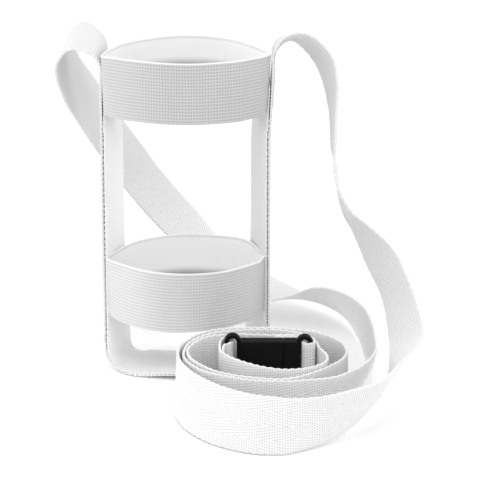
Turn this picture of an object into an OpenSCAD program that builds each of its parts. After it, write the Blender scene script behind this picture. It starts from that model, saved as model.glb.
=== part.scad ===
// Bottle carrier of flat webbing: a U-shaped frame with two elastic rings,
// and a shoulder strap whose two ends meet in a pull-apart buckle that lies
// inside a loose coil of the strap. Millimetres, +Z up, origin on the floor
// under the middle of the frame.

/* [Webbing] */
// Width of the shoulder webbing
web_w = 25; // [24:0.5:26]
// Thickness of the shoulder webbing
web_t = 1.1; // [0.9:0.1:1.2]
// Thickness of the inner lining tape
lining_t = 0.6; // [0.5:0.1:0.7]

/* [Elastic rings] */
// Height of each elastic ring
band_h = 26.4; // [25:0.2:26.6]
// Thickness of the elastic
band_t = 1.0; // [0.8:0.1:1.1]
// Height of the lower edge of the upper ring
upper_z = 112.1; // [111.5:0.1:112.5]
// Height of the lower edge of the lower ring
lower_z = 22.5; // [22:0.1:24]

/* [Stitching] */
// Radius of a stitch thread
thread_r = 0.25; // [0.2:0.05:0.3]
// Distance from one stitch to the next
stitch_pitch = 2.6; // [2.4:0.1:3]

/* [Buckle] */
// Height of the buckle body
buckle_h = 25; // [24.6:0.2:26]
// Thickness of the buckle body
buckle_t = 4.6; // [4.4:0.1:4.8]
// Thickness of the webbing frames at the ends
frame_t = 4; // [3.6:0.1:4.2]
// Width of the webbing slots
slot_w = 3.3; // [3.2:0.1:3.4]
// Outer radius of the frame ends
ear_r = 3.35; // [3.3:0.05:3.4]

/* [Hidden] */

white = "white";
light = "gainsboro";
black = "#1c1c1e";

// ---- smooth curve through route points -------------------------------
function pt(p, i) = i < 0 ? 2*p[0] - p[1]
                  : i >= len(p) ? 2*p[len(p)-1] - p[len(p)-2] : p[i];
function cr(a, b, c, d, t) = 0.5*(2*b + (c - a)*t
    + (2*a - 5*b + 4*c - d)*t*t + (3*b - a - 3*c + d)*t*t*t);
function curve(p, n) = concat(
    [for (i = [0:len(p)-2]) for (k = [0:n-1])
        cr(pt(p,i-1), pt(p,i), pt(p,i+1), pt(p,i+2), k/n)],
    [p[len(p)-1]]);
function loop(p, n) = let (m = len(p)) [for (i = [0:m-1]) for (k = [0:n-1])
    cr(p[(i+m-1)%m], p[i], p[(i+1)%m], p[(i+2)%m], k/n)];
function slice(p, a, b) = [for (i = [a:b]) p[i]];
function unit(v) = v/norm(v);
function xyz(q) = [q[0], q[1], q[2]];
function wid(q) = [q[3], q[4], q[5]];

// ---- ribbon: cross-sections [centre, across, normal] along a curve -----
function sections(q) = let (m = len(q)) [for (i = [0:m-1])
    let (t = unit(xyz(q[min(m-1,i+1)]) - xyz(q[max(0,i-1)])),
         w0 = wid(q[i]), w = unit(w0 - (w0*t)*t))
    [xyz(q[i]), w, cross(t, w)]];
// ribbon solid from cross-sections, half width h, from offset a to b
module ribbon(s, h, a, b) {
    m = len(s);
    p = [for (c = s) each [c[0] + c[1]*h + c[2]*b, c[0] - c[1]*h + c[2]*b,
                           c[0] - c[1]*h + c[2]*a, c[0] + c[1]*h + c[2]*a]];
    f = concat([[0,2,1],[0,3,2]],
        [for (i = [0:m-2]) for (k = [0:3]) let (j = (k+1)%4)
            each [[4*i+k, 4*i+j, 4*i+4+j], [4*i+k, 4*i+4+j, 4*i+4+k]]],
        [[4*m-4, 4*m-3, 4*m-2], [4*m-4, 4*m-2, 4*m-1]]);
    polyhedron(p, f, convexity = 6);
}

// ---- frame webbing -----------------------------------------------------
// left upright from the base to the top: front edge, back edge
upright_route = [
    [-18, -14.4, 0.55,  -19, 9.8, 0.55],
    [-23, -12.4, 0.7,   -21.6, 10.4, 0.6],
    [-27.5, -10.4, 1.3, -23.4, 11.2, 1.4],
    [-31, -9.2, 3.2,    -24.4, 12, 3.6],
    [-33.2, -8.6, 6.6,  -24.8, 12.8, 7.4],
    [-34, -8.2, 11,     -25, 13.4, 12.4],
    [-34.1, -7.8, 25,   -26, 14.9, 25],
    [-34.1, -7.2, 50,   -27, 16.4, 50],
    [-34.1, -6.8, 75,   -27.3, 17, 75],
    [-34.1, -6.8, 102,  -27.7, 17.2, 102],
    [-34, -6.8, 107.5,  -31, 18, 107.5],
    [-34, -6.8, 113,    -34, 18.2, 113],
    [-34, -6.8, 122,    -34, 18.2, 122],
    [-34, -6.8, 131,    -34, 18.2, 131]];
upright_q = curve(upright_route, 3);
// cross-sections between the two edges
upright_s = let (m = len(upright_q)) [for (i = [0:m-1])
    let (f = xyz(upright_q[i]), b = wid(upright_q[i]), c = (f + b)/2,
         i0 = max(0, i-1), i1 = min(m-1, i+1),
         t0 = xyz(upright_q[i1]) + wid(upright_q[i1])
            - xyz(upright_q[i0]) - wid(upright_q[i0]),
         t = i == 0 ? [-1,0,0] : unit(t0), w = unit(f - b))
    [c, w*norm(f - b)/2, unit(cross(t, w))]];
fx = [for (q = upright_q) if (q[2] > 14) [q[2], q[0]]];
fy = [for (q = upright_q) if (q[2] > 14) [q[2], q[1]]];
bx = [for (q = upright_q) if (q[2] > 14) [q[2], q[3]]];
by = [for (q = upright_q) if (q[2] > 14) [q[2], q[4]]];
lining_gap = web_t/2 + 0.3;

module base_plate(z0, t, e) color(white) translate([0, 0, z0])
    linear_extrude(t) polygon([[-18, -14.4 + e], [-9, -16.2 + e], [0, -16.8 + e],
                               [9, -16.2 + e], [18, -14.4 + e],
                               [19, 9.8 - e], [9, 8.9 - e], [0, 8.6 - e],
                               [-9, 8.9 - e], [-19, 9.8 - e]]);
module base_strap() base_plate(0, web_t, 0);
module base_lining() base_plate(web_t + 0.3, lining_t, 0.7);
module upright() color(white) ribbon(upright_s, 1, -web_t/2, web_t/2);
module lining() color(light)
    ribbon(slice(upright_s, 0, 37), 0.95, lining_gap, lining_gap + lining_t);
module left_upright() upright();
module right_upright() mirror([1, 0, 0]) upright();
module left_lining() lining();
module right_lining() mirror([1, 0, 0]) lining();

// ---- elastic rings: left half of each outline, front to back -----------
upper_half = [[0, -15], [-9, -14.2], [-18, -12.1], [-25, -9.6], [-30, -7.2],
              [-31.6, -4.8], [-31, -0.6], [-29.2, 4.4], [-25.5, 8], [-18, 11.9], [-9, 14], [0, 15]];
lower_half = [[0, -19.8], [-8, -19], [-15, -16.8], [-21, -13.5], [-25.5, -10.2], [-29, -6.9],
              [-30, -4.2], [-28.5, 0.4], [-26.6, 6], [-24.4, 11.6], [-20.6, 14.8], [-14, 17.8], [0, 19.8]];
function mirrored(h) = concat(h, [for (i = [len(h)-2:-1:1]) [-h[i][0], h[i][1]]]);
function outline(p, d) = let (m = len(p)) [for (i = [0:m-1])
    let (t = unit(p[(i+1)%m] - p[(i+m-1)%m])) p[i] + d*[t[1], -t[0]]];
module ring(half, z0) {
    p = loop(mirrored(half), 3);
    color(light) translate([0, 0, z0]) linear_extrude(band_h) difference() {
        polygon(outline(p, -band_t/2));
        polygon(outline(p, band_t/2));
    }
}
module upper_band() ring(upper_half, upper_z);
module lower_band() ring(lower_half, lower_z);

// ---- seams: rows of stitches on the outer face of the uprights ---------
module seam(z0, n) color(white)
    for (u = [0.12, 0.24, 0.36], i = [0:n-1]) {
        z = z0 + i*stitch_pitch;
        f = [lookup(z, fx), lookup(z, fy)];
        b = [lookup(z, bx), lookup(z, by)];
        d = unit(b - f);
        o = f + (b - f)*u + (web_t/2 + thread_r + 0.06)*[-d[1], d[0]];
        translate([o[0], o[1], z])
            cylinder(h = stitch_pitch - 0.9, r = thread_r, center = true, $fn = 16);
    }
module upper_left_stitching() seam(116.4, 6);
module upper_right_stitching() mirror([1, 0, 0]) seam(116.4, 6);
module lower_left_stitching() seam(27.4, 8);
module lower_right_stitching() mirror([1, 0, 0]) seam(27.4, 8);

// ---- shoulder strap routes: centre, then the way to the upper edge ------
left_free = [
    [-34, 5.7, 131.2, 0, -10, 0], [-34, 5.7, 134.4, 0, -10, 0], [-36.2, 6.2, 138.6, -1, -10, 0],
    [-43, 8.5, 141, -2, -10, -1], [-47.5, 10.5, 138, -2, -9, -2],
    [-50, 13.5, 131.5, -2, -9, -3], [-47, 19.5, 118.5, -2, -9, -5],
    [-41, 25.5, 106, -2, -8, -5], [-35.5, 31.5, 93.5, -2, -8, -5],
    [-29.5, 38, 81, -2, -8, -5], [-23, 43.5, 69, -2, -8, -5],
    [-15.5, 49, 57.5, -1, -9, -4], [-7, 53, 45.5, -2, -9, -4],
    [2, 56, 34, -2, -9, -3], [12, 56.5, 23, -2, -10, -1],
    [24, 53.5, 14.5, -3, -9, 0], [36, 47.5, 10, -5, -9, 1],
    [48.5, 39.5, 11, -6, -7, 4], [59.5, 30.5, 13.4, -5, -4, 7],
    [67.5, 17.5, 13.6, -3, -2, 9], [72.5, 3.5, 13.4, -1, -1, 10],
    [75, -11, 13.2, 0, 0, 10], [75.5, -26, 13, 1, 0, 10],
    [74, -41, 12.9, 2, -1, 10], [68.5, -54.5, 12.9, 2, -1, 10],
    [58.5, -65.5, 12.8, 1, -1, 10]];
right_free = [
    [34, 5.7, 131.2, 0, -10, 0], [34, 5.7, 134.4, 0, -10, 1], [36.5, 5.5, 138, 0, -10, 2],
    [41, 5, 141, 0, -9, 4], [45, 4.5, 141.5, 1, -9, 5],
    [49, 3.5, 141, 1, -8, 5], [52, 2, 138.5, 2, -8, 5],
    [55, 0.5, 135, 2, -8, 5], [57, -1, 131, 2, -9, 5],
    [59, -5.5, 121.5, 2, -9, 4], [59.5, -10.5, 109, 1, -9, 4],
    [59.5, -13, 102, 0, -9, 4], [60, -16, 94.5, 1, -9, 4],
    [63, -21, 83, 1, -9, 4], [66.5, -23.5, 77, 2, -9, 4],
    [71, -26, 70.5, 2, -8, 5], [78.5, -30.5, 60.5, 4, -7, 6],
    [84, -35.5, 50, 4, -7, 6], [87.5, -42.5, 39.5, 5, -7, 6],
    [88.5, -50.5, 30, 5, -6, 6], [83.5, -60, 23.5, 3, -6, 8],
    [76, -69.5, 18.5, 2, -6, 8], [66, -77, 15.5, 1, -4, 9],
    [55, -83, 13.7, 0, -3, 10], [43, -86.3, 12.9, 0, -1, 10]];

// coil: angle, radius, lean of the upper edge towards the middle, height
coil_c = [32, -49];
left_wound = [
    [-60, 25.1, 0, 12.8], [-77, 22.7, 0, 12.8], [-100, 21.8, 0, 12.8],
    [-120, 22.4, 0, 12.8], [-140, 25, 0, 12.8], [-155, 28.2, 0, 12.8],
    [-171, 31.1, 0, 12.8], [-186, 33.3, 0, 12.8], [-205, 34, 0, 12.8],
    [-225, 32.4, 0, 12.8], [-245, 29, 0, 12.8], [-265, 27, 0, 12.9],
    [-285, 26.6, 0, 13], [-305, 27.2, 0, 13.1], [-325, 26.4, 0, 13.2],
    [-342, 24.9, 0, 13.3], [-357, 25, 0, 13.5], [-368, 25, 0, 13.7],
    [-378, 24.1, 0, 13.9], [-390, 22.2, 0, 14.1], [-405, 19.6, 0, 14.3],
    [-424, 16.4, 0, 14.5], [-443, 12.9, 0, 14.8], [-465, 10.8, 0, 15],
    [-487, 10.6, 0, 15.2], [-507, 11.8, 0, 15.3], [-522, 13.4, 0, 15.3],
    [-537, 16, 0, 15.3], [-549, 18.2, 0, 15.3]];
right_wound = [
    [-83, 37.8, 0.5, 12.8], [-100, 36, 2.5, 12.8], [-120, 34, 3.8, 12.8],
    [-140, 33.4, 4, 12.8], [-160, 34.2, 3, 12.8], [-180, 35.6, 1.5, 12.8],
    [-200, 36.6, 0.5, 12.8], [-225, 35, 0, 12.8], [-250, 30.6, 0, 12.8],
    [-270, 28.9, 0, 12.8], [-290, 29.4, 0, 12.8], [-311, 32.2, 0, 12.8],
    [-330, 34, 0, 12.8], [-347, 33.7, 0, 12.8], [-362, 31, 0, 12.8],
    [-377, 26.8, 0, 12.8], [-399, 23.2, 0, 12.8], [-423, 21.8, 0, 12.8],
    [-445, 20.2, 0, 12.8], [-474, 19.6, 0, 12.8], [-503, 23.2, 0, 12.9],
    [-523, 26.8, 0, 13.1], [-539, 30.5, 0, 13.4], [-555, 31.8, 0, 13.8],
    [-575, 29.2, 0, 14.2], [-595, 22.6, 0, 14.6], [-612, 18.2, 0, 15],
    [-635, 16.5, 0, 15.2], [-655, 18.1, 0, 15.3], [-670, 21.3, 0, 15.3]];
function wound(c) = [for (s = c) [coil_c[0] + s[1]*cos(s[0]), coil_c[1] + s[1]*sin(s[0]), s[3],
                                  -cos(s[0])*s[2]*0.4, -sin(s[0])*s[2]*0.4, 10]];
// folds round the buckle bars, in plan, at the buckle's mid height
bz0 = 15.3;
left_fold = [[14, -42.6], [14.05, -38.8], [14.7, -36.1], [16.4, -34.9], [18.2, -35.5],
             [18.7, -37.6], [18.7, -40.2], [17.9, -42.6], [16.5, -44.5], [16.2, -46.5], [17.2, -48.6]];
right_fold = [[49.4, -33.6], [51.5, -35.3], [51.9, -38.2], [51.3, -40.7], [49.4, -41.5], [47.95, -40.4],
              [47.75, -38.2], [47.3, -35.8], [45.6, -34.5], [41, -34.2], [36, -34.2]];
function fold(p) = [for (s = p) [s[0], s[1], bz0, 0, 0, 10]];
function strap(a, b, c) = sections(curve(concat(a, wound(b), fold(c)), 2));
left_s = strap(left_free, left_wound, left_fold);
right_s = strap(right_free, right_wound, right_fold);
left_a = 2*len(left_free);
left_b = left_a + 2*len(left_wound) - 2;
right_a = 2*len(right_free);
right_b = right_a + 2*len(right_wound) - 2;
module strap_part(s, a, b) color(white)
    ribbon(slice(s, a, b), web_w/2, -web_t/2, web_t/2);
module left_shoulder_strap() strap_part(left_s, 0, left_a);
module left_strap_coil() strap_part(left_s, left_a, left_b);
module left_strap_end() strap_part(left_s, left_b, len(left_s)-1);
module right_shoulder_strap() strap_part(right_s, 0, right_a);
module right_strap_coil() strap_part(right_s, right_a, right_b);
module right_strap_end() strap_part(right_s, right_b, len(right_s)-1);

// stitches that close the folds, on the inner face of the turned-back ends
module fold_stitches(s, k, side) color(white) {
    m = len(s);
    for (j = k, z = [-9:3:9]) {
        c = s[m-1-j];
        o = c[0] + side*c[2]*(web_t/2 + thread_r + 0.06);
        translate([o[0], o[1], o[2] + z])
            cylinder(h = 2.1, r = thread_r, center = true, $fn = 16);
    }
}
module left_end_stitching() fold_stitches(left_s, [2, 3, 4], -1);
module right_end_stitching() fold_stitches(right_s, [1, 2, 3], -1);

// ---- buckle: stands on the ends of its frames --------------------------
by0 = -38;          // middle plane
seam_x = 39.3;      // where the halves meet
arch = bz0 - ear_r;
module upright_slab(t) translate([0, by0 + t/2, 0]) rotate([90, 0, 0])
    linear_extrude(t) children();
module stadium(x, r, h) {
    translate([x - r, bz0 - h]) square([2*r, 2*h]);
    translate([x, bz0 + h]) circle(r, $fn = 48);
    translate([x, bz0 - h]) circle(r, $fn = 48);
}
module plate(x0, x1, h, r) {
    translate([x0 + r, bz0 - h/2]) square([x1 - x0 - 2*r, h]);
    translate([x0, bz0 - h/2 + r]) square([x1 - x0, h - 2*r]);
    for (x = [x0 + r, x1 - r], z = [bz0 - h/2 + r, bz0 + h/2 - r])
        translate([x, z]) circle(r, $fn = 32);
}
left_ear = 18.7;
right_ear = 47.75;
module buckle_socket() color(black) difference() {
    union() {
        upright_slab(frame_t) stadium(left_ear, ear_r, arch);
        upright_slab(buckle_t) plate(left_ear + slot_w/2 + 0.15, seam_x - 0.15, buckle_h, 0.8);
    }
    upright_slab(buckle_t + 2) stadium(left_ear, slot_w/2, arch);
    upright_slab(2.6) translate([27.6, bz0 - 6.8]) square([20, 13.6]);
    upright_slab(2.6) translate([27.6, bz0 - 7.4]) square([8.9, 14.8]);
}
module buckle_plug() color(black) difference() {
    union() {
        upright_slab(frame_t) stadium(right_ear, ear_r, arch - 0.5);
        upright_slab(buckle_t) plate(seam_x + 0.15, right_ear - slot_w/2 - 0.15, buckle_h, 0.8);
        upright_slab(2) plate(30, seam_x + 3, 5, 0.8);
    }
    upright_slab(buckle_t + 2) stadium(right_ear, slot_w/2, arch - 0.5);
}
module finger() color(black) upright_slab(2) {
    translate([29.4, bz0 + 4.1]) square([8.8, 1.8]);
    translate([38.2, bz0 + 5]) circle(0.9, $fn = 32);
    translate([30.4, bz0 + 5.9]) circle(1, $fn = 32);
}
module upper_latch_finger() finger();
module lower_latch_finger() translate([0, 0, 2*bz0]) mirror([0, 0, 1]) finger();

base_strap();
base_lining();
left_upright();
right_upright();
left_lining();
right_lining();
upper_band();
lower_band();
upper_left_stitching();
upper_right_stitching();
lower_left_stitching();
lower_right_stitching();
left_shoulder_strap();
left_strap_coil();
left_strap_end();
left_end_stitching();
right_shoulder_strap();
right_strap_coil();
right_strap_end();
right_end_stitching();
buckle_socket();
buckle_plug();
upper_latch_finger();
lower_latch_finger();
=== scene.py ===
"""Looks of a webbing bottle carrier: frame webbing with its lining, ribbed elastic rings, shoulder strap wound into a
loose coil round its pull-apart buckle. Metres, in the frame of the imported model."""

import math

import bpy
import numpy as np
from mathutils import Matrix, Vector


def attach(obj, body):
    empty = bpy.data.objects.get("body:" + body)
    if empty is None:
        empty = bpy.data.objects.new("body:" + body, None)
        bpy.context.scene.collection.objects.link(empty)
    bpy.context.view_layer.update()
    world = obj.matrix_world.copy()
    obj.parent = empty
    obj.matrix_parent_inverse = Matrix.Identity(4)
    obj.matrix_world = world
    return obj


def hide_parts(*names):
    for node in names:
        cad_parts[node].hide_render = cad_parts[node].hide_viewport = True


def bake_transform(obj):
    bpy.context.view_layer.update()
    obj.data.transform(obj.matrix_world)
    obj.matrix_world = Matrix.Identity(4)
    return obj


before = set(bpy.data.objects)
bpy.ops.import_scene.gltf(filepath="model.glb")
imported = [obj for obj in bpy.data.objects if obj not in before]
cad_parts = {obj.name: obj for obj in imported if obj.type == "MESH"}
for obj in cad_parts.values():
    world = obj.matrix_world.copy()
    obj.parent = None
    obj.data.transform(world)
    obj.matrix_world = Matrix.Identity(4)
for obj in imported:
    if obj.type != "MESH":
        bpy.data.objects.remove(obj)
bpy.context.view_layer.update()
MM = 0.001
scene = bpy.context.scene
ROOT, PLUG = "carrier", "plug"

# ---------------------------------------------------------------- camera
cam_data = bpy.data.cameras.new("camera")
cam = bpy.data.objects.new("camera", cam_data)
scene.collection.objects.link(cam)
cam.location = (0.0217, -1.6161, 0.7580)
cam.rotation_euler = (math.radians(66.5), 0, 0)
cam_data.sensor_width = 36
cam_data.lens = 322.5
cam_data.clip_start = 0.05
scene.camera = cam

# ---------------------------------------------------------------- routes, in millimetres (close to those of the part's source)
UPRIGHT = [
    [-18, -14.4, 0.55, -19, 9.8, 0.55],
    [-23, -12.4, 0.7, -21.6, 10.4, 0.6],
    [-27.5, -10.4, 1.3, -23.4, 11.2, 1.4],
    [-31, -9.2, 3.2, -24.4, 12, 3.6],
    [-33.2, -8.6, 6.6, -24.8, 12.8, 7.4],
    [-34, -8.2, 11, -25, 13.4, 12.4],
    [-34.1, -7.8, 25, -26, 14.9, 25],
    [-34.1, -7.2, 50, -27, 16.4, 50],
    [-34.1, -6.8, 75, -27.3, 17, 75],
    [-34.1, -6.8, 102, -27.7, 17.2, 102],
    [-34, -6.8, 107.5, -31, 18, 107.5],
    [-34, -6.8, 113, -34, 18.2, 113],
    [-34, -6.8, 122, -34, 18.2, 122],
    [-34, -6.8, 131.2, -34, 18.2, 131.2],
]
LEFT_FREE = [
    [-33.55, 5.7, 131.2, -0.7, -10, 0], [-33.6, 5.7, 134.4, -0.8, -10, 0], [-36.2, 6.1, 138.7, -1.3, -10, 0.2],
    [-43.5, 8.4, 141, -1.8, -9.8, -1], [-47.8, 10.6, 138, -2.4, -9.4, -2],
    [-50, 13.5, 131.5, -2, -9, -3], [-47, 19.5, 118.5, -2, -9, -5],
    [-41, 25.5, 106, -2, -8, -5], [-35.5, 31.5, 94, -2, -8, -5],
    [-29.5, 38, 82, -2, -8, -5], [-23, 43.5, 70, -2, -8, -5],
    [-16, 48.5, 58, -2, -8.5, -4.5], [-7.5, 53, 45.5, -2, -9, -4],
    [2, 56, 33.5, -2, -9, -3], [12, 56.5, 23, -2, -10, -1],
    [24, 53.5, 14.5, -3, -9, 0], [36, 47.5, 10, -5, -9, 1],
    [48.5, 39.5, 11, -6, -7, 4], [59.5, 30.5, 13.4, -5, -4, 7],
    [67.5, 17.5, 13.6, -3, -2, 9], [72.5, 3.5, 13.4, -1, -1, 10],
    [75, -11, 13.2, 0, 0, 10], [75.5, -26, 13, 1, 0, 10],
    [74, -41, 12.9, 2, -1, 10], [68.5, -54.5, 12.9, 2, -1, 10],
    [58.5, -65.5, 12.8, 1, -1, 10],
]
RIGHT_FREE = [
    [35.1, 5.7, 131.2, 0, -10, 0], [35.4, 5.7, 134.2, 0, -10, 0.8], [36.8, 5.5, 137.8, -0.4, -10, 1.8],
    [41, 5, 141, 0, -9, 4], [45, 4.5, 141.5, 0.5, -8.5, 5],
    [48.6, 3.5, 140.5, 1.7, -8.4, 5.1], [52, 2, 138.5, 1.9, -8.4, 5.1],
    [55, 0.5, 135, 2.2, -8.4, 5], [57, -1.2, 131, 2.3, -8.5, 4.7],
    [58.2, -3, 126.8, 2, -8.8, 4.4], [59, -5.5, 121.5, 1.6, -9, 4],
    [59.3, -8, 116, 1, -9.2, 3.7], [59.4, -10.5, 108.8, 0.6, -9.2, 3.7],
    [59.3, -13, 101.8, 0.4, -9.2, 3.9], [60, -15.8, 94.5, -0.5, -9.2, 4],
    [60.8, -18.5, 88.5, -0.5, -9.2, 4], [62.4, -20.8, 83, 0.3, -9.2, 4],
    [65.4, -23.5, 76.8, 1.1, -9, 4.2], [71, -26, 70.5, 2, -8, 5], [78.5, -30.5, 60.5, 4, -7, 6],
    [84, -35.5, 50, 4, -7, 6], [87.5, -42.5, 39.5, 5, -7, 6],
    [88.5, -50.5, 30, 5, -6, 6], [83.5, -60, 23.5, 3, -6, 8],
    [76, -69.5, 18.5, 2, -6, 8], [66, -77, 15.5, 1, -4, 9],
    [55, -83, 13.7, 0, -3, 10], [43, -86.3, 12.9, 0, -1, 10],
]
COIL = (32, -49)
LEFT_WOUND = [
    [-60, 25.1, 0, 12.8], [-77, 22.7, 0, 12.8], [-100, 21.8, 0, 12.8],
    [-120, 22.4, 0, 12.8], [-140, 25, 0, 12.8], [-155, 28.2, 0, 12.8],
    [-171, 31.1, 0, 12.8], [-186, 33.3, 0, 12.8], [-205, 34, 0, 12.8],
    [-225, 32.4, 0, 12.8], [-245, 29, 0, 12.8], [-265, 27, 0, 12.9],
    [-285, 26.6, 0, 13], [-305, 27, 0, 13.1], [-325, 25.2, 0, 13.2], [-334, 23.6, 0, 13.2],
    [-342, 23.3, 0, 13.3], [-357, 24.6, 0, 13.5], [-368, 25.1, 0, 13.7],
    [-378, 24.4, 0, 13.9], [-390, 22.4, 0, 14.1], [-405, 19.7, 0, 14.3],
    [-424, 16.6, 0, 14.5], [-443, 14.4, 0, 14.8], [-465, 13, 0, 15],
    [-487, 12.8, 0, 15.2], [-507, 13.6, 0, 15.3], [-522, 15, 0, 15.3],
    [-537, 17.1, 0, 15.3], [-549, 18.7, 0, 15.3],
]
RIGHT_WOUND = [
    [-83, 37.8, 0.5, 12.8], [-100, 36, 2.5, 12.8], [-120, 34, 3.8, 12.8],
    [-140, 33.4, 4, 12.8], [-160, 34.2, 3, 12.8], [-180, 35.6, 1.5, 12.8],
    [-200, 36.6, 0.5, 12.8], [-225, 35, 0, 12.8], [-250, 30.6, 0, 12.8],
    [-270, 28.9, 0, 12.8], [-290, 29.4, 0, 12.8], [-311, 32.2, 0, 12.8],
    [-330, 34, 0, 12.8], [-347, 33.7, 0, 12.8], [-362, 31, 0, 12.8],
    [-377, 26.8, 0, 12.8], [-399, 23.2, 0, 12.8], [-423, 21.8, 0, 12.8],
    [-445, 20.2, 0, 12.8], [-474, 19.6, 0, 12.8], [-503, 23.2, 0, 12.9],
    [-523, 26.8, 0, 13.1], [-539, 30.5, 0, 13.4], [-555, 31.8, 0, 13.8],
    [-575, 29.2, 0, 14.2], [-595, 22.6, 0, 14.6], [-612, 18.2, 0, 15],
    [-635, 16.5, 0, 15.2], [-655, 18.1, 0, 15.3], [-670, 21.3, 0, 15.3],
]
LEFT_FOLD = [[13.6, -42.6], [13.7, -38.8], [14.5, -36.1], [16.3, -34.9], [18.2, -35.5], [18.9, -37.4],
             [18.7, -39.2], [17.7, -40.7], [16.2, -41.2], [15.1, -42.4], [14.8, -44.4], [15, -46.6]]
RIGHT_FOLD = [[49.4, -33.6], [51.2, -35.3], [51.8, -38.2], [51.4, -40.6], [49.6, -41.6], [47.8, -41], [47, -39.4],
              [46.9, -37.6], [46.6, -35.6], [45, -34.4], [41, -34.2], [36, -34.2]]
FOLD_Z = 15.3
# ring outlines, anticlockwise from the middle of the front; the tips are pinched in front of the lining
UPPER_RING = [[0, -15], [9, -14.3], [18, -12.3], [25, -9.8], [29.4, -8], [31.6, -6.9], [32.3, -5.9], [31.8, -4.4],
              [30.4, -1.8], [28, 2.4], [24.2, 6.2], [19, 9.8], [13.6, 12.4], [7, 14.3], [0, 15.1], [-6, 14.4],
              [-12, 12.7], [-18.7, 9.8], [-25.1, 5.9], [-28.4, 2.2], [-30.8, -1.4], [-32.4, -4.8], [-33, -6.5],
              [-32.4, -7.3], [-29.8, -8.1], [-25, -9.7], [-18, -12], [-9, -14.2]]
LOWER_RING = [[0, -19.8], [8, -19.1], [15, -17.1], [20, -14.3], [24, -11.5], [27.4, -8.9], [30.4, -6.4], [32.2, -4.6],
              [31.4, -2.6], [29.6, 1], [28, 5], [26, 9.2], [22.8, 13], [18.6, 15.9], [13, 18.2], [6.5, 19.4],
              [0, 19.8], [-5, 19.2], [-10, 17.9], [-15, 15.9], [-19.8, 13.2], [-24, 9.6], [-27, 5.6], [-29.4, 1.4],
              [-31.2, -2.6], [-32.4, -5], [-32.8, -6.2], [-32, -7.2], [-29.4, -8.6], [-25.3, -10.9], [-21, -13.6],
              [-15, -16.8], [-8, -19]]
# how the sewn ends of the front stand higher: place across, rise of the lower edge, rise of the upper edge
UPPER_ENDS = [[-33, 1.3, 0.3], [-29.6, 0.5, 0.3], [-25, 0, 0], [22, 0, 0], [26.5, 0.4, 0.2], [29.5, 0.9, 0.4], [31.7, 1.6, 0.9]]
LOWER_ENDS = [[-32.8, 3.2, 1.4], [-30.6, 1.7, 0.9], [-27, 0.4, 0.3], [-22, 0, 0], [-4, 0, 0], [12, 1.1, 0], [24, 1.2, 0.1],
              [29.5, 2.3, 0.2], [31, 3.8, 1.9]]
WEB_W, WEB_T = 25.0, 1.05
FRAME_T, LINING_T, LINING_GAP = 0.9, 0.5, 0.42
BAND_H, UPPER_Z, LOWER_Z = 26.4, 112.1, 22.5


# ---------------------------------------------------------------- curves
def catmull(p, n, closed=False):
    p = np.asarray(p, float)
    m = len(p)
    if closed:
        get = lambda i: p[i % m]
        spans = m
    else:
        ends = {-1: 2 * p[0] - p[1], m: 2 * p[-1] - p[-2]}
        get = lambda i: ends[i] if i in ends else p[i]
        spans = m - 1
    out = []
    for i in range(spans):
        a, b, c, d = get(i - 1), get(i), get(i + 1), get(i + 2)
        for k in range(n):
            t = k / n
            out.append(0.5 * (2 * b + (c - a) * t + (2 * a - 5 * b + 4 * c - d) * t * t + (3 * b - a - 3 * c + d) * t**3))
    if not closed:
        out.append(p[-1])
    return np.array(out)


def even(q, step, closed=False):
    """q resampled at even steps along its first three columns; also the arc length."""
    k = 3 if q.shape[1] >= 3 else 2
    if closed:
        q = np.vstack([q, q[:1]])
    s = np.r_[0, np.cumsum(np.linalg.norm(np.diff(q[:, :k], axis=0), axis=1))]
    n = max(8, int(round(s[-1] / step)))
    at = np.linspace(0, s[-1], n + 1)
    r = np.stack([np.interp(at, s, q[:, j]) for j in range(q.shape[1])], 1)
    return (r[:-1], at[:-1], s[-1]) if closed else (r, at, s[-1])


def soften(q, sigma, closed=False):
    """Gaussian smoothing along the rows, ends held."""
    r = int(3 * sigma) + 1
    w = np.exp(-0.5 * (np.arange(-r, r + 1) / sigma) ** 2)
    w /= w.sum()
    if closed:
        pad = np.vstack([q[-r:], q, q[:r]])
    else:
        pad = np.vstack([2 * q[0] - q[r:0:-1], q, 2 * q[-1] - q[-2:-r - 2:-1]])
    return np.stack([np.convolve(pad[:, j], w, "valid") for j in range(q.shape[1])], 1)


def unit(a):
    return a / np.maximum(np.linalg.norm(a, axis=-1, keepdims=True), 1e-12)


def frames(P, W):
    T = unit(np.gradient(P, axis=0))
    W = unit(W - (W * T).sum(1, keepdims=True) * T)
    return T, W, np.cross(T, W)


def wave(s, seed, lengths=(31.0, 17.0, 9.5), gains=(1.0, 0.6, 0.35)):
    """Smooth fixed unevenness along a length in millimetres."""
    return sum(g * np.sin(2 * np.pi * s / l + seed * (1.7 + 0.9 * i)) for i, (l, g) in enumerate(zip(lengths, gains)))


# ---------------------------------------------------------------- meshes
def new_object(name, verts, faces, uv=None, slots=None, smooth=True):
    me = bpy.data.meshes.new(name)
    me.from_pydata([tuple(v) for v in np.asarray(verts) * MM], [], [tuple(f) for f in faces])
    if uv is not None:
        layer = me.uv_layers.new(name="weave")
        idx = np.zeros(len(me.loops), np.int32)
        me.loops.foreach_get("vertex_index", idx)
        layer.uv.foreach_set("vector", np.asarray(uv, np.float32)[idx].ravel())
    if slots is not None:
        me.polygons.foreach_set("material_index", np.asarray(slots, np.int32))
    if smooth:
        me.polygons.foreach_set("use_smooth", np.ones(len(me.polygons), bool))
    me.update()
    ob = bpy.data.objects.new(name, me)
    scene.collection.objects.link(ob)
    return ob


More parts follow.
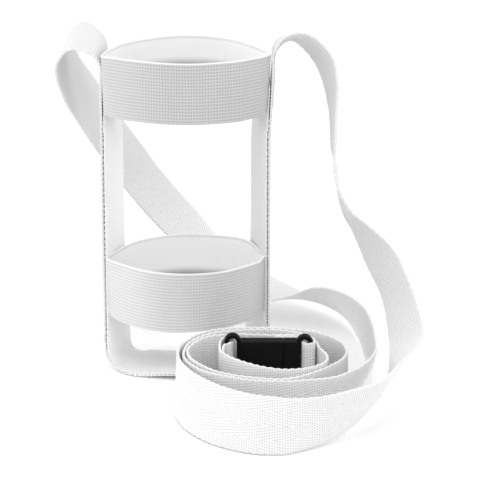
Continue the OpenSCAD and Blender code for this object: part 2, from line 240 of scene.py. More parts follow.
def tape_profile(h, t, faces=11, edge=6, square=0.62):
    """Cross-section of a tape: (across, along the normal), from the upper edge round; blunt rounded selvedges."""
    r = t / 2
    e = r * square
    a = np.linspace(h - e * 1.15, -(h - e * 1.15), faces)
    top = np.stack([a, np.full(faces, r)], 1)
    ang = np.linspace(90, 270, edge + 2)[1:-1] * np.pi / 180
    low = np.stack([-(h - e) + e * np.cos(ang), r * np.sin(ang)], 1)
    bottom = np.stack([a[::-1], np.full(faces, -r)], 1)
    high = np.stack([(h - e) - e * np.cos(ang), -r * np.sin(ang)], 1)
    return np.vstack([top, low, bottom, high])


def tape(name, P, W, half, t, s, seed=0, scallop=0.05, pitch=1.08, wobble=0.06, pucker=0.08):
    """A woven tape along P with its width along W; half is the half width and t the thickness at each station."""
    T, W, N = frames(P, W)
    half = np.broadcast_to(half, len(P))
    t = np.broadcast_to(t, len(P))
    prof = tape_profile(half.mean(), 1.0)
    m, k = len(P), len(prof)
    a = prof[:, 0] / half.mean()
    d = prof[:, 1]
    edge = np.clip((np.abs(a) - 0.94) / 0.05, 0, 1)
    sc = scallop * np.sin(2 * np.pi * s / pitch + seed)
    sc2 = scallop * np.sin(2 * np.pi * s / pitch + seed + 1.9)
    low = wobble * wave(s, seed + 0.4)
    across = a[None, :] * half[:, None]
    across = across + np.where(a > 0, 1, -1)[None, :] * edge[None, :] * np.where(a[None, :] > 0, sc[:, None], sc2[:, None])
    puff = 1 + pucker * edge[None, :] * np.sin(2 * np.pi * s / pitch + seed + 0.6)[:, None]
    off = d[None, :] * t[:, None] * puff + low[:, None] * (0.4 + 0.6 * np.abs(a))[None, :]
    V = P[:, None, :] + W[:, None, :] * across[..., None] + N[:, None, :] * off[..., None]
    V = V.reshape(-1, 3)
    i = np.arange(m - 1)[:, None] * k
    j = np.arange(k)[None, :]
    j1 = (j + 1) % k
    F = np.stack([i + j, i + j1, i + k + j1, i + k + j], -1).reshape(-1, 4)
    F = F.tolist()
    first, last = list(range(k)), [(m - 1) * k + q for q in range(k)]
    F += [first[::-1], last]
    uv = np.stack([np.repeat(s, k), (across + half[:, None]).ravel()], 1) * MM
    return new_object(name, V, F, uv)


def along(route, step=0.27, smooth=4.2):
    """Even stations of a route of centre + width direction: P, W, arc length, total."""
    q = catmull(route, 24)
    q[:, 3:] = unit(q[:, 3:])
    q, s, total = even(q, step)
    q = soften(q, smooth)
    q, s, total = even(q, step)
    return q[:, :3], q[:, 3:], s, total


def wound(c):
    return [
        [COIL[0] + r * math.cos(math.radians(a)), COIL[1] + r * math.sin(math.radians(a)), z,
         -math.cos(math.radians(a)) * lean * 0.4, -math.sin(math.radians(a)) * lean * 0.4, 10]
        for a, r, lean, z in c
    ]


def fold(p):
    return [[x, y, FOLD_Z, 0, 0, 10] for x, y in p]


# ---------------------------------------------------------------- materials
class Nodes:
    """Small helper for building shader trees."""

    def __init__(self, name):
        self.mat = bpy.data.materials.new(name)
        self.mat.use_nodes = True
        self.tree = self.mat.node_tree
        self.tree.nodes.clear()
        self.out = self.add("ShaderNodeOutputMaterial")
        self.bsdf = self.add("ShaderNodeBsdfPrincipled")
        self.link(self.bsdf.outputs[0], self.out.inputs[0])

    def add(self, kind, **props):
        n = self.tree.nodes.new(kind)
        for k, v in props.items():
            setattr(n, k, v)
        return n

    def link(self, a, b):
        self.tree.links.new(a, b)

    def put(self, socket, value):
        if isinstance(value, bpy.types.NodeSocket):
            self.link(value, socket)
        else:
            socket.default_value = value

    def math(self, op, a, b=None, c=None, clamp=False):
        n = self.add("ShaderNodeMath", operation=op, use_clamp=clamp)
        for i, v in enumerate((a, b, c)):
            if v is not None:
                self.put(n.inputs[i], v)
        return n.outputs[0]

    def uv(self):
        n = self.add("ShaderNodeUVMap", uv_map="weave")
        s = self.add("ShaderNodeSeparateXYZ")
        self.link(n.outputs[0], s.inputs[0])
        return self.math("MULTIPLY", s.outputs[0], 1000.0), self.math("MULTIPLY", s.outputs[1], 1000.0)

    def sine(self, x, period, phase=0.0):
        return self.math("SINE", self.math("MULTIPLY_ADD", x, 2 * math.pi / period, phase))

    def noise(self, scale, detail=2.0, rough=0.5):
        c = self.add("ShaderNodeTexCoord")
        n = self.add("ShaderNodeTexNoise")
        self.link(c.outputs["Object"], n.inputs["Vector"])
        n.inputs["Scale"].default_value = scale
        n.inputs["Detail"].default_value = detail
        n.inputs["Roughness"].default_value = rough
        return n.outputs[0]

    def ramp(self, x, lo, hi):
        n = self.add("ShaderNodeMapRange")
        n.clamp = True
        self.put(n.inputs[0], x)
        n.inputs[1].default_value, n.inputs[2].default_value = lo, hi
        return n.outputs[0]

    def colour(self, x, dark, light):
        n = self.add("ShaderNodeMix", data_type="RGBA")
        self.put(n.inputs[0], x)
        n.inputs[6].default_value = (*dark, 1)
        n.inputs[7].default_value = (*light, 1)
        return n.outputs[2]

    def bump(self, height, distance, strength=1.0, normal=None):
        n = self.add("ShaderNodeBump")
        n.inputs["Strength"].default_value = strength
        n.inputs["Distance"].default_value = distance
        self.put(n.inputs["Height"], height)
        if normal is not None:
            self.link(normal, n.inputs["Normal"])
        return n.outputs[0]


    def mix(self, f, a, b):
        """a where f is 0, b where f is 1."""
        d = self.math("SUBTRACT", b, a)
        return self.math("MULTIPLY_ADD", f, d, a)

    def place(self):
        """X, Y and Z of the surface in millimetres, in the object's own frame."""
        c = self.add("ShaderNodeTexCoord")
        s = self.add("ShaderNodeSeparateXYZ")
        self.link(c.outputs["Object"], s.inputs[0])
        return [self.math("MULTIPLY", s.outputs[i], 1000.0) for i in range(3)]

    def cloth(self, rough=0.88, sheen=0.1):
        self.put(self.bsdf.inputs["Roughness"], rough)
        self.bsdf.inputs["Sheen Weight"].default_value = sheen
        self.bsdf.inputs["Sheen Roughness"].default_value = 0.5
        self.bsdf.inputs["Specular IOR Level"].default_value = 0.2


def grey(v, tint=(1.0, 1.0, 1.0)):
    return tuple(v * t for t in tint)


def woven(name, light, dark, depth=0.00008, line=1.2, lean=4.5, column=6.2, weft=1.0):
    """Herringbone tape: twill lines that change side from column to column, crossed by the weft; small dark gaps between."""
    g = Nodes(name)
    u, v = g.uv()
    zig = g.math("PINGPONG", v, column)
    drift = g.math("MULTIPLY", g.math("SUBTRACT", g.noise(600, 1.0), 0.5), 0.5)
    run = g.math("ADD", g.math("MULTIPLY_ADD", zig, -lean, u), drift)
    twill = g.ramp(g.sine(run, line * lean), -1, 1)
    cross = g.ramp(g.sine(g.math("ADD", u, g.math("MULTIPLY", drift, 0.3)), weft), -1, 1)
    low = g.math("SUBTRACT", 1.0, twill)
    gap = g.math("ADD", g.math("MULTIPLY", g.math("MULTIPLY", low, g.math("SUBTRACT", 1.0, cross)), 0.88), g.math("MULTIPLY", low, 0.12))
    # plain selvedges; the loops above the holder are worn smoother; the upper runs are greyer by painted shade
    edge = g.ramp(g.math("ABSOLUTE", g.math("SUBTRACT", v, WEB_W / 2)), 10.9, 11.9)
    gap = g.mix(edge, gap, g.math("MULTIPLY", g.math("SUBTRACT", 1.0, cross), 0.5))
    x, y, z = g.place()
    worn = g.math("MULTIPLY", g.ramp(g.math("ABSOLUTE", x), 30.0, 36.0), g.ramp(z, 55.0, 85.0))
    gap = g.mix(worn, gap, g.math("MULTIPLY_ADD", gap, 0.4, 0.12))
    fuzz = g.noise(5200, 2.0, 0.6)
    wide = g.noise(55, 3.0, 0.55)
    h = g.math("SUBTRACT", g.math("MULTIPLY", fuzz, 0.35), gap)
    shade = g.math("SUBTRACT", 1.0, g.math("ADD", gap, g.math("ADD", g.math("MULTIPLY", wide, 0.14), g.math("MULTIPLY", fuzz, 0.12))), clamp=True)
    # painted shade: the webbing darkens by up to 11 % between 26 and 70 mm up, standing in for shade on the higher runs
    painted_shade_high = g.math("MULTIPLY_ADD", g.ramp(z, 26.0, 70.0), -0.11, 1.0)
    g.link(g.math("MULTIPLY", g.mix(shade, dark, light), painted_shade_high), g.bsdf.inputs["Base Color"])
    g.link(g.bump(h, depth, 0.9), g.bsdf.inputs["Normal"])
    g.cloth(g.mix(gap, 0.78, 0.94))
    return g.mat


def lining_tape(name):
    """Lining: smooth up one side, woven blocks up the other, ribs across the base; they fade into each other."""
    g = Nodes(name)
    u, v = g.uv()
    x, y, z = g.place()
    right = g.ramp(x, -8.0, 18.0)
    base = g.math("SUBTRACT", 1.0, g.ramp(z, 2.0, 9.0))
    fuzz = g.math("SUBTRACT", g.noise(5200, 2.0, 0.6), 0.5)
    smooth = g.math("MULTIPLY", g.math("MULTIPLY", g.sine(u, 0.62), g.sine(v, 0.7)), 0.45)
    zig = g.math("PINGPONG", v, 3.1)
    blocks = g.math("ADD", g.math("MULTIPLY", g.sine(g.math("MULTIPLY_ADD", zig, 0.9, u), 1.3), 0.7),
                    g.math("MULTIPLY", g.sine(v, 0.8), 0.3))
    ribs = g.math("ADD", g.math("MULTIPLY", g.sine(u, 0.66), 0.8), g.math("MULTIPLY", g.sine(v, 1.1), 0.12))
    h = g.mix(base, g.mix(right, smooth, blocks), ribs)
    h2 = g.math("ADD", h, g.math("MULTIPLY", fuzz, 0.5))
    wide = g.noise(45, 3.0, 0.5)
    shade = g.math("ADD", g.math("MULTIPLY", g.ramp(h2, -1.0, 1.0), 0.7), g.math("MULTIPLY", wide, 0.3), clamp=True)
    # partly painted light: the left lining is lighter than the right, partly a real change of tape and partly painted
    # light standing in for the light on the left upright's face
    light = g.mix(base, g.mix(right, 0.97, 0.9), 0.93)
    dark = g.mix(base, g.mix(right, 0.93, 0.70), 0.66)
    g.link(g.mix(shade, dark, light), g.bsdf.inputs["Base Color"])
    g.link(g.bump(h2, 0.00006, 0.8), g.bsdf.inputs["Normal"])
    g.cloth(0.9, 0.06)
    return g.mat


def knitted(name, light, dark, mesh, depth=0.00005):
    """Ribbed elastic: the ribs are in the mesh; crossing columns and the small dark meshes between them come from here;
    the left end is painted lighter as painted light.
    """
    g = Nodes(name)
    u, v = g.uv()
    x, y, z = g.place()
    rib = g.ramp(g.sine(v, BAND_H / 19.0, -math.pi / 2), -1, 1)
    drift = g.math("MULTIPLY", g.math("SUBTRACT", g.noise(700, 1.0), 0.5), 0.18)
    col = g.ramp(g.sine(g.math("ADD", u, drift), 1.15), -1, 1)
    ends = g.ramp(g.math("ABSOLUTE", x), 16.0, 29.0)
    # painted light: the elastic's left end is up to 34 % lighter, standing in for the stronger light from the left
    left = g.math("SUBTRACT", 1.0, g.ramp(x, -32.0, -8.0))
    line = g.math("MULTIPLY", g.math("SUBTRACT", 1.0, rib), 0.42)
    open_ = g.mix(mesh, line, g.math("MULTIPLY", g.math("SUBTRACT", 1.0, rib), g.math("SUBTRACT", 1.0, col)))
    gap = g.mix(ends, open_, line)
    fuzz = g.noise(6000, 2.0, 0.6)
    wide = g.noise(48, 3.0, 0.55)
    worn = g.math("ADD", g.math("MULTIPLY", wide, 0.16), g.math("MULTIPLY", fuzz, 0.16))
    shade = g.math("SUBTRACT", g.math("MULTIPLY_ADD", left, 0.34, 1.0), g.math("ADD", gap, worn))
    h = g.math("ADD", g.math("MULTIPLY", gap, -1.0), g.math("MULTIPLY", fuzz, 0.3))
    g.link(g.mix(shade, dark, light), g.bsdf.inputs["Base Color"])
    g.link(g.bump(h, depth, 0.8), g.bsdf.inputs["Normal"])
    g.cloth(0.86, 0.08)
    return g.mat


def plain_knit(name, light, dark, deep, depth=0.00003):
    """Smooth side of the elastic: fine even yarns, greyed by painted shade from the height deep[1] down to deep[0], the
    shade deep inside the ring.
    """
    g = Nodes(name)
    u, v = g.uv()
    yarn = g.math("MULTIPLY", g.sine(u, 0.62), g.sine(v, 0.7))
    fuzz = g.noise(5200, 2.0, 0.6)
    h = g.math("ADD", yarn, g.math("MULTIPLY", g.math("SUBTRACT", fuzz, 0.5), 0.7))
    wide = g.noise(40, 3.0, 0.5)
    shade = g.math("ADD", g.math("MULTIPLY", g.ramp(h, -1.2, 1.0), 0.5), g.math("MULTIPLY", wide, 0.5), clamp=True)
    # painted shade: the colour falls to 32 % towards the bottom of the inside, standing in for shade in the ring's
    # hollow
    n = g.add("ShaderNodeMapRange", interpolation_type="SMOOTHSTEP")
    g.put(n.inputs[0], v)
    n.inputs[1].default_value, n.inputs[2].default_value = deep
    n.inputs[3].default_value, n.inputs[4].default_value = 0.32, 1.0
    g.link(g.math("MULTIPLY", g.mix(shade, dark, light), n.outputs[0]), g.bsdf.inputs["Base Color"])
    g.link(g.bump(h, depth, 0.8), g.bsdf.inputs["Normal"])
    g.cloth(0.9, 0.08)
    return g.mat


def thread(name):
    g = Nodes(name)
    u, v = g.uv()
    ply = g.sine(g.math("ADD", u, g.math("MULTIPLY", v, 0.9)), 0.42)
    h = g.math("ADD", ply, g.math("MULTIPLY", g.noise(7000, 2.0), 0.4))
    g.link(g.colour(g.ramp(h, -0.9, 1.2), grey(0.66), grey(0.86)), g.bsdf.inputs["Base Color"])
    g.link(g.bump(h, 0.00004, 0.8), g.bsdf.inputs["Normal"])
    g.bsdf.inputs["Roughness"].default_value = 0.6
    g.bsdf.inputs["Sheen Weight"].default_value = 0.15
    return g.mat


def moulded(name):
    """Satin black moulded plastic: fine spark texture, faint flow marks, convex edges a little lighter."""
    g = Nodes(name)
    grain = g.noise(4200, 3.0, 0.6)
    flow = g.noise(90, 3.0, 0.5)
    geo = g.add("ShaderNodeNewGeometry")
    edge = g.ramp(geo.outputs["Pointiness"], 0.52, 0.62)
    shade = g.math("ADD", g.math("MULTIPLY", flow, 0.35), g.math("MULTIPLY", edge, 0.65), clamp=True)
    g.link(g.colour(shade, (0.0035, 0.0035, 0.004), (0.009, 0.009, 0.0095)), g.bsdf.inputs["Base Color"])
    g.link(g.mix(g.ramp(grain, 0.3, 0.7), 0.36, 0.5), g.bsdf.inputs["Roughness"])
    g.link(g.bump(grain, 0.00002, 0.5), g.bsdf.inputs["Normal"])
    g.bsdf.inputs["Specular IOR Level"].default_value = 0.08
    return g.mat


M_WEB = woven("webbing", 0.9, 0.59)
M_LINING = lining_tape("lining")
M_KNIT = knitted("elastic_outside", 0.61, 0.36, 0.85)
# painted light: the lower elastic is a lighter copy of the same elastic with fainter dark meshes, making up for the
# shade on the lower band
M_KNIT_LOWER = knitted("elastic_outside_lower", 0.71, 0.42, 0.55)
# the height pairs set where each ring's painted shade begins and ends
M_IN_UPPER = plain_knit("elastic_inside_upper", 0.98, 0.94, (12.8, 18.4))
M_IN_LOWER = plain_knit("elastic_inside_lower", 0.98, 0.94, (8.2, 13.0))
M_RIM = plain_knit("elastic_rim", 0.83, 0.76, (0.0, 1.0))
M_THREAD = thread("thread")
M_BLACK = moulded("buckle_plastic")


def ease(x, a, b):
    t = np.clip((np.asarray(x, float) - a) / (b - a), 0, 1)
    return t * t * (3 - 2 * t)


# ---------------------------------------------------------------- frame webbing and lining
def frame_stations():
    up = np.array(UPRIGHT)
    left, right = up.copy(), up * np.array([-1, 1, 1, -1, 1, 1])
    # the tops lean a touch outwards
    left[:, 0] -= 0.05 + 0.3 * ease(up[:, 2], 12, 75)
    left[:, 3] += np.interp(up[:, 2], [102, 107.5, 113, 122, 131.2], [0, 0, 0.1, 0.6, 1.3])
    right[:, 0] += np.interp(up[:, 2], [0, 10, 102, 107.5, 113, 122, 131.2], [0, -0.35, -0.35, -0.1, 0.15, 0.65, 1.1])
    right[:, 3] += np.interp(up[:, 2], [102, 107.5, 113, 122, 131.2], [0, 0, 0.15, 0.65, 1.1])
    # the front edge of the base bows forward and stands a little clear of the floor
    mid = np.array([[-9.5, -16.3, 1.6, -9.5, 8.9, 0.55], [0, -17, 2.0, 0, 8.6, 0.55], [9.5, -16.3, 1.6, 9.5, 8.9, 0.55]])
    q = catmull(np.vstack([left[::-1], mid, right]), 24)
    c = np.hstack([(q[:, :3] + q[:, 3:]) / 2, q[:, :3] - q[:, 3:]])
    c, s, total = even(c, 0.3)
    c = soften(c, 3.4)
    c, s, total = even(c, 0.3)
    return c[:, :3], c[:, 3:], s, total


FP, FW, FS, F_LEN = frame_stations()
F_HALF = np.linalg.norm(FW, axis=1) / 2
FT, FWU, FN = frames(FP, FW)
F_THICK = FRAME_T - 0.3 * (1 - ease(FP[:, 2], 2, 14)) + (WEB_T - FRAME_T) * ease(FP[:, 2], 118, 131)
frame_web = tape("frame_webbing", FP, FW, F_HALF, F_THICK, FS, seed=0.3, pitch=1.45, wobble=0.0, pucker=0.4)
frame_web.data.materials.append(M_WEB)
lim = int(6.0 / 0.3)
inner = slice(lim, len(FP) - lim)
F_GAP = 0.04 + (LINING_GAP - 0.04) * ease(FP[:, 2], 2, 14)
L_HALF = F_HALF * (0.99 - 0.035 * ease(FP[:, 2], 2, 14))
LP = (FP - FN * (F_THICK / 2 + F_GAP + LINING_T / 2)[:, None])[inner]
lining = tape("frame_lining", LP, FW[inner], L_HALF[inner], LINING_T, FS[inner], seed=0.3, pitch=1.45, wobble=0.0, pucker=0.5)
lining.data.materials.append(M_LINING)


# ---------------------------------------------------------------- elastic rings
def ring(name, outline, z0, seed, lift, ends, flare, corner, outside, inside):
    """Closed elastic ring on an outline. lift is how much higher its back edge stands, ends the rise of its sewn ends,
    flare how far the upper corners reach out to the left and to the right, corner the rise of the right-hand side behind."""
    q = catmull(np.array(outline, float)[::-1], 30, closed=True)
    # the ring closes at its left-hand end, beside the upright
    q = np.roll(q, -int(np.argmin(q[:, 0])), axis=0)
    q, s, total = even(q, 0.4, closed=True)
    q = soften(q, 1.8, closed=True)
    q, s, total = even(q, 0.4, closed=True)
    t = unit(np.roll(q, -1, 0) - np.roll(q, 1, 0))
    out = np.stack([-t[:, 1], t[:, 0]], 1)
    # profile: outside with ribs from the bottom up, rolled top edge, smooth inside down, bottom edge
    ribs, per = 19, 6
    zo = np.linspace(0.5, BAND_H - 0.55, ribs * per + 1)
    bulge = 0.38 + 0.11 * np.abs(np.sin(np.pi * zo / (BAND_H / ribs)))
    prof = [(b, z, 0) for b, z in zip(bulge, zo)]
    prof += [(0.46 * math.cos(math.radians(a)), BAND_H - 0.46 + 0.46 * math.sin(math.radians(a)), 2) for a in np.linspace(0, 190, 10)]
    prof += [(-0.46, z, 1) for z in np.linspace(BAND_H - 1.1, 0.7, 14)]
    prof += [(0.46 * math.cos(math.radians(a)), 0.46 + 0.46 * math.sin(math.radians(a)), 0) for a in np.linspace(190, 340, 7)]
    prof = np.array(prof)
    m, k = len(q), len(prof)
    sway = 0.08 * wave(s, seed, (total / 3, total / 5, total / 9))
    d = prof[None, :, 0] + sway[:, None]
    ends = np.array(ends)
    front = 1 - ease(q[:, 1], -3, 5)
    low = np.interp(q[:, 0], ends[:, 0], ends[:, 1]) * front
    high = np.interp(q[:, 0], ends[:, 0], ends[:, 2]) * front + lift * ease(q[:, 1], -5, 5)
    high = high + corner * ease(q[:, 0], 8, 30) * (1 - front)
    up = prof[None, :, 1] / BAND_H
    V = np.zeros((m, k, 3))
    V[..., :2] = q[:, None, :] + out[:, None, :] * d[..., None]
    tip = np.where(q[:, 0] < 0, -flare[0], flare[1]) * ease(np.abs(q[:, 0]), 26, 32.5)
    V[..., 0] += tip[:, None] * up
    V[..., 2] = z0 + prof[None, :, 1] + low[:, None] * (1 - up) + high[:, None] * up
    i = np.arange(m)[:, None]
    j = np.arange(k)[None, :]
    i1, j1 = (i + 1) % m, (j + 1) % k
    F = np.stack([i * k + j, i1 * k + j, i1 * k + j1, i * k + j1], -1).reshape(-1, 4)
    uv = np.stack([np.repeat(s, k), np.tile(prof[:, 1], m)], 1) * MM
    ob = new_object(name, V.reshape(-1, 3), F.tolist(), uv, np.tile(prof[:, 2], m).astype(int))
    for mat in (outside, inside, M_RIM):
        ob.data.materials.append(mat)
    # the seam of the closed ring: the last column's u would run back to 0
    layer = ob.data.uv_layers["weave"].uv
    flat = np.zeros(len(ob.data.loops) * 2, np.float32)
    layer.foreach_get("vector", flat)
    flat = flat.reshape(-1, 4, 2)
    wrap = flat[:, :, 0].max(1) - flat[:, :, 0].min(1) > total * MM / 2
    sub = flat[wrap]
    sub[..., 0] = np.where(sub[..., 0] < total * MM / 2, sub[..., 0] + total * MM, sub[..., 0])
    flat[wrap] = sub
    layer.foreach_set("vector", flat.ravel())
    return ob, total


upper, UPPER_LEN = ring("upper_elastic", UPPER_RING, UPPER_Z, 0.7, 0.9, UPPER_ENDS, (0.8, 1.6), 0.0, M_KNIT, M_IN_UPPER)
lower, LOWER_LEN = ring("lower_elastic", LOWER_RING, LOWER_Z, 2.1, 0.6, LOWER_ENDS, (0.3, 0.3), 1.2, M_KNIT_LOWER, M_IN_LOWER)

# ---------------------------------------------------------------- shoulder strap
STRAPS = {}
for side, free, turns, back in (("left", LEFT_FREE, LEFT_WOUND, LEFT_FOLD), ("right", RIGHT_FREE, RIGHT_WOUND, RIGHT_FOLD)):
    route = free + wound(turns)
    P, W, S, total = along(route + fold(back))
    # where the wound run hands over to the sewn end
    join = np.array(route[-1][:3])
    tail = S > S[-1] * 0.8
    cut = int(np.argmin(np.where(tail, np.linalg.norm(P - join, axis=1), 1e9)))
    seed = 0.5 if side == "left" else 1.9
    run = tape(side + "_strap", P[: cut + 2], W[: cut + 2], WEB_W / 2, WEB_T, S[: cut + 2], seed=seed, scallop=0.15, pitch=2.9)
    end = tape(side + "_strap_sewn_end", P[cut:], W[cut:], WEB_W / 2, WEB_T * 0.96, S[cut:], seed=seed, scallop=0.15, pitch=2.9, wobble=0.02)
    for ob in (run, end):
        ob.data.materials.append(M_WEB)
    STRAPS[side] = (run, end, P, W, S, cut)


# ---------------------------------------------------------------- stitches
def stitches(name, places, r=0.24):
    """places: (start, end, out) of each stitch in millimetres; a short bowed thread that dives in at both ends."""
    V, F, UV = [], [], []
    rings, seg = 7, 8
    for p0, p1, out in places:
        p0, p1, out = np.array(p0, float), np.array(p1, float), unit(np.array(out, float))
        t = unit(p1 - p0)
        b = np.cross(t, out)
        base = len(V)
        length = np.linalg.norm(p1 - p0)
        for i in range(rings):
            x = i / (rings - 1)
            c = p0 + (p1 - p0) * x + out * (0.24 * (1 - (2 * x - 1) ** 2) - 0.12)
            rr = r * (0.55 + 0.45 * math.sin(math.pi * min(max(x, 0.06), 0.94)))
            for k in range(seg):
                a = 2 * math.pi * k / seg
                V.append(c + rr * (math.cos(a) * out + math.sin(a) * b))
                UV.append((x * length * MM, k / seg * 1.6 * MM))
        for i in range(rings - 1):
            for k in range(seg):
                k1 = (k + 1) % seg
                F.append((base + i * seg + k, base + i * seg + k1, base + (i + 1) * seg + k1, base + (i + 1) * seg + k))
        F.append(tuple(base + k for k in range(seg))[::-1])
        F.append(tuple(base + (rings - 1) * seg + k for k in range(seg)))
    ob = new_object(name, V, F, UV)
    ob.data.materials.append(M_THREAD)
    return ob


def seam(name, side, z0, n, pitch=2.6):
    pick = np.where((FP[:, 0] < 0) if side < 0 else (FP[:, 0] > 0))[0]
    pick = pick[np.argsort(FP[pick, 2])]
    z = FP[pick, 2]
    places = []
    for u in (0.12, 0.24, 0.36):
        for i in range(n):
            ends = []
            for dz in (-0.95, 0.95):
                k = pick[np.argmin(np.abs(z - (z0 + i * pitch + dz)))]
                ends.append((FP[k] + FWU[k] * F_HALF[k] * (1 - 2 * u) + FN[k] * (F_THICK[k] / 2 + 0.06), FN[k]))
            places.append((ends[0][0], ends[1][0], ends[0][1]))
    return stitches(name, places)


SEAMS = {
    "upper_left_stitching": seam("upper_left_stitches", -1, 116.4, 6),
    "upper_right_stitching": seam("upper_right_stitches", 1, 116.4, 6),
    "lower_left_stitching": seam("lower_left_stitches", -1, 27.4, 8),
    "lower_right_stitching": seam("lower_right_stitches", 1, 27.4, 8),
}


def edge_seam(name, pitch=2.4):
    """Overcast threads that cross from the webbing to the lining along both edges of the uprights."""
    places = []
    for k in range(lim + 20, len(FP) - lim - 20, int(round(pitch / 0.3))):
        z = FP[k, 2]
        if F_GAP[k] < 0.3 or z > 129 or LOWER_Z - 1 < z < LOWER_Z + BAND_H + 1 or UPPER_Z - 1 < z < UPPER_Z + BAND_H + 1:
            continue
        for way in (1, -1):
            # the right-hand threads are drawn deeper into the gap
            rim = FP[k] + FWU[k] * way * (L_HALF[k] - (0.05 if FP[k, 0] < 0 else 0.5))
            places.append((rim - FN[k] * (F_THICK[k] / 2 - 0.2), rim - FN[k] * (F_THICK[k] / 2 + F_GAP[k] + 0.28), FWU[k] * way))
    return stitches(name, places, 0.4)


EDGE_SEAM = edge_seam("frame_edge_stitches")


def end_seam(name, side, back, rows):
    """Rows of stitches across the inner face of the turned-back end, starting back millimetres before its cut edge."""
    run, end, P, W, S, cut = STRAPS[side]
    T, Wu, N = frames(P, W)
    places = []
    for r in rows:
        k = int(np.argmin(np.abs(S - (S[-1] - back - r))))
        for z in np.arange(-9.5, 9.6, 2.7):
            c = P[k] - N[k] * (WEB_T / 2 + 0.06) + Wu[k] * z
            places.append((c - Wu[k] * 1.0, c + Wu[k] * 1.0, -N[k]))
    return stitches(name, places)


L_SEAM = end_seam("left_end_stitches", "left", 2.2, (0.0, 1.1, 2.2))
R_SEAM = end_seam("right_end_stitches", "right", 2.5, (0.0, 2.4, 4.8))


# ---------------------------------------------------------------- buckle
def bake(ob):
    """Applies the modifiers of ob."""
    bpy.context.view_layer.update()
    me = bpy.data.meshes.new_from_object(ob.evaluated_get(bpy.context.evaluated_depsgraph_get()))
    old = ob.data
    ob.modifiers.clear()
    ob.data = me
    bpy.data.meshes.remove(old)
    return ob


def prism(name, loop, y0, y1, bevel=0.0, hole=None, segments=3):
    """A moulded plate between y0 and y1: an anticlockwise outline in (x, z), with rounded edges; hole matches it point for point."""
    n = len(loop)
    V = [(x, y0, z) for x, z in loop] + [(x, y1, z) for x, z in loop]
    F = [(i, (i + 1) % n, n + (i + 1) % n, n + i) for i in range(n)]
    if hole is None:
        F += [tuple(range(n))[::-1], tuple(range(n, 2 * n))]
    else:
        V += [(x, y0, z) for x, z in hole] + [(x, y1, z) for x, z in hole]
        for i in range(n):
            j = (i + 1) % n
            F += [(2 * n + j, 2 * n + i, 3 * n + i, 3 * n + j), (j, i, 2 * n + i, 2 * n + j), (n + i, n + j, 3 * n + j, 3 * n + i)]
    ob = new_object(name, V, [f[::-1] for f in F], smooth=False)
    if bevel:
        mod = ob.modifiers.new("round", "BEVEL")
        mod.width = bevel * MM
        mod.segments = segments
        mod.limit_method = "ANGLE"
        mod.angle_limit = math.radians(40)
        bake(ob)
    return ob


def boolean(a, b, op):
    mod = a.modifiers.new("b", "BOOLEAN")
    mod.operation = op
    mod.solver = "EXACT"
    mod.object = b
    bake(a)
    bpy.data.objects.remove(b)
    return a


def arc(cx, cz, r, a0, a1, n=14):
    return [(cx + r * math.cos(math.radians(a)), cz + r * math.sin(math.radians(a))) for a in np.linspace(a0, a1, n)]


BY, BZ, SEAM_X = -38.0, FOLD_Z, 39.3
BODY_H, BODY_T, LINK_T = 25.0, 4.6, 3.2
EAR_R, SLOT_R, ARCH = 3.35, 1.65, FOLD_Z - 3.35
LEFT_EAR, RIGHT_EAR = 18.7, 47.75


def stadium(x, r, arch):
    return arc(x, BZ + arch, r, 0, 180, 20) + arc(x, BZ - arch, r, 180, 360, 20)


def rounded(x0, x1, h, r0, r1):
    """Rounded rectangle with corner radius r0 on the left and r1 on the right."""
    z0, z1 = BZ - h / 2, BZ + h / 2
    return (arc(x1 - r1, z1 - r1, r1, 0, 90, 6) + arc(x0 + r0, z1 - r0, r0, 90, 180, 6)
            + arc(x0 + r0, z0 + r0, r0, 180, 270, 6) + arc(x1 - r1, z0 + r1, r1, 270, 360, 6))


def sharp(ob, angle=38):
    me = ob.data
    me.polygons.foreach_set("use_smooth", np.ones(len(me.polygons), bool))
    me.set_sharp_from_angle(angle=math.radians(angle))
    # the flat faces keep an even shade beside their rounded edges
    even_faces = ob.modifiers.new("even_faces", "WEIGHTED_NORMAL")
    even_faces.weight = 100
    even_faces.keep_sharp = True


def buckle_half(name, ear, arch, x0, x1, r0, r1):
    body = prism(name, rounded(x0, x1, BODY_H, r0, r1), BY - BODY_T / 2, BY + BODY_T / 2, 0.5)
    link = prism(name + "_link", stadium(ear, EAR_R, arch), BY - LINK_T / 2, BY + LINK_T / 2, 0.55, stadium(ear, SLOT_R, arch))
    return boolean(body, link, "UNION")


socket = buckle_half("buckle_socket_half", LEFT_EAR, ARCH, LEFT_EAR + SLOT_R + 0.15, SEAM_X - 0.03, 1.2, 0.3)
mouth = prism("mouth", [(36.4, BZ - 6.8), (45, BZ - 6.8), (45, BZ + 6.8), (36.4, BZ + 6.8), (36.4, BZ + 7.4),
                        (27.6, BZ + 7.4), (27.6, BZ - 7.4), (36.4, BZ - 7.4)], BY - 1.3, BY + 1.3)
socket = boolean(socket, mouth, "DIFFERENCE")
plug = buckle_half("buckle_plug_half", RIGHT_EAR, ARCH - 0.5, SEAM_X + 0.03, RIGHT_EAR - SLOT_R - 0.15, 0.3, 1.2)
tongue = prism("tongue", rounded(30, SEAM_X + 3, 5, 1.6, 0.6), BY - 1.0, BY + 1.0, 0.3)
plug = boolean(plug, tongue, "UNION")


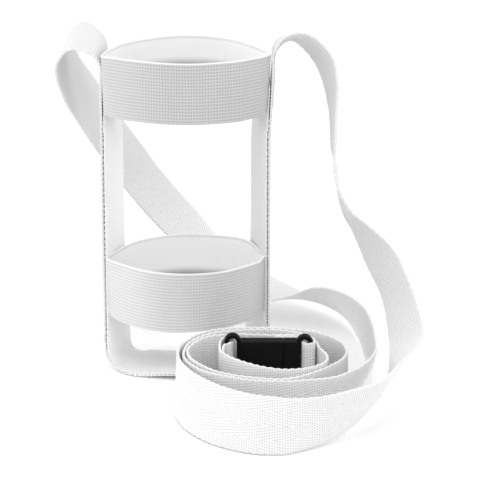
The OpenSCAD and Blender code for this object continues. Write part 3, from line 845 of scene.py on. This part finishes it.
def finger(name, up):
    z = lambda d: BZ + up * d
    loop = [(29.4, z(4.1)), (38.2, z(4.1))]
    loop += [(38.2 + 0.9 * math.sin(math.radians(a)), z(5 - 0.9 * math.cos(math.radians(a)))) for a in np.linspace(15, 165, 9)]
    loop += [(38.2, z(5.9)), (31.9, z(5.9)), (31.3, z(6.35)), (30.8, z(6.8)), (30.4, z(6.9)), (30.0, z(6.8)), (29.6, z(6.4)), (29.4, z(5.9))]
    return prism(name, loop if up > 0 else loop[::-1], BY - 1.0, BY + 1.0, 0.2)


upper_finger = finger("upper_latch_arm", 1)
lower_finger = finger("lower_latch_arm", -1)
for ob in (socket, plug, upper_finger, lower_finger):
    ob.data.materials.clear()
    ob.data.materials.append(M_BLACK)
    sharp(ob)


# ---------------------------------------------------------------- what each piece stands for and what it rides on
def hold(ob, body, slot, *nodes):
    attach(ob, body)
    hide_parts(*nodes)


hold(frame_web, ROOT, "webbing", "base_strap", "left_upright", "right_upright")
hold(lining, ROOT, "lining", "base_lining", "left_lining", "right_lining")
hold(upper, ROOT, "elastic", "upper_band")
hold(lower, ROOT, "elastic", "lower_band")
for node, ob in SEAMS.items():
    hold(ob, ROOT, "thread", node)
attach(EDGE_SEAM, ROOT)
hold(STRAPS["left"][1], ROOT, "webbing", "left_strap_end")
hold(L_SEAM, ROOT, "thread", "left_end_stitching")
hold(STRAPS["right"][1], PLUG, "webbing", "right_strap_end")
hold(R_SEAM, PLUG, "thread", "right_end_stitching")
hold(socket, ROOT, "buckle", "buckle_socket")
hold(plug, PLUG, "buckle", "buckle_plug")
hold(upper_finger, "upper_finger", "buckle", "upper_latch_finger")
hold(lower_finger, "lower_finger", "buckle", "lower_latch_finger")

# the loose strap runs take the place of the shoulder strap and its coil; their placing is baked into their meshes
for side in ("left", "right"):
    run = STRAPS[side][0]
    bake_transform(run)
    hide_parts(side + "_shoulder_strap", side + "_strap_coil")

for side, pieces in (("left", [STRAPS["left"][1], L_SEAM, socket]), ("right", [STRAPS["right"][1], R_SEAM, plug])):
    run, end, P, W, S, cut = STRAPS[side]

# ---------------------------------------------------------------- floor and light
floor_me = bpy.data.meshes.new("floor")
floor_me.from_pydata([(-6, -6, -0.0002), (6, -6, -0.0002), (6, 6, -0.0002), (-6, 6, -0.0002)], [], [(0, 1, 2, 3)])
floor = bpy.data.objects.new("floor", floor_me)
scene.collection.objects.link(floor)
g = Nodes("floor_white")
g.link(g.colour(g.noise(3.0, 2.0), grey(0.96), grey(0.975)), g.bsdf.inputs["Base Color"])
g.bsdf.inputs["Roughness"].default_value = 0.9
g.bsdf.inputs["Specular IOR Level"].default_value = 0.0
floor_me.materials.append(g.mat)

world = bpy.data.worlds.new("studio")
scene.world = world
world.use_nodes = True
world.node_tree.nodes["Background"].inputs[0].default_value = (1, 1, 1, 1)
world.node_tree.nodes["Background"].inputs[1].default_value = 0.67


def softbox(name, azimuth, elevation, distance, size, energy, to=(0.02, -0.02, 0.06)):
    """Square soft light; azimuth runs from the front to the right."""
    a, e = math.radians(azimuth), math.radians(elevation)
    way = Vector((math.cos(e) * math.sin(a), -math.cos(e) * math.cos(a), math.sin(e)))
    li = bpy.data.lights.new(name, "AREA")
    li.shape = "SQUARE"
    li.size = size
    li.energy = energy
    ob = bpy.data.objects.new(name, li)
    scene.collection.objects.link(ob)
    ob.location = Vector(to) + way * distance
    ob.rotation_euler = (-way).to_track_quat("-Z", "Y").to_euler()
    return ob


softbox("top", 180, 84, 1.5, 1.6, 4.0)
softbox("front_left", -24, 54, 1.2, 0.7, 3.2)
softbox("front_right", 24, 54, 1.2, 0.7, 3.6)
softbox("side_left", -100, 15, 1.3, 0.8, 6.0)
softbox("side_right", 100, 15, 1.3, 0.8, 4.6)

scene.view_settings.view_transform = "Standard"
scene.view_settings.look = "None"
scene.view_settings.exposure = 0.0
scene.view_settings.gamma = 1.0
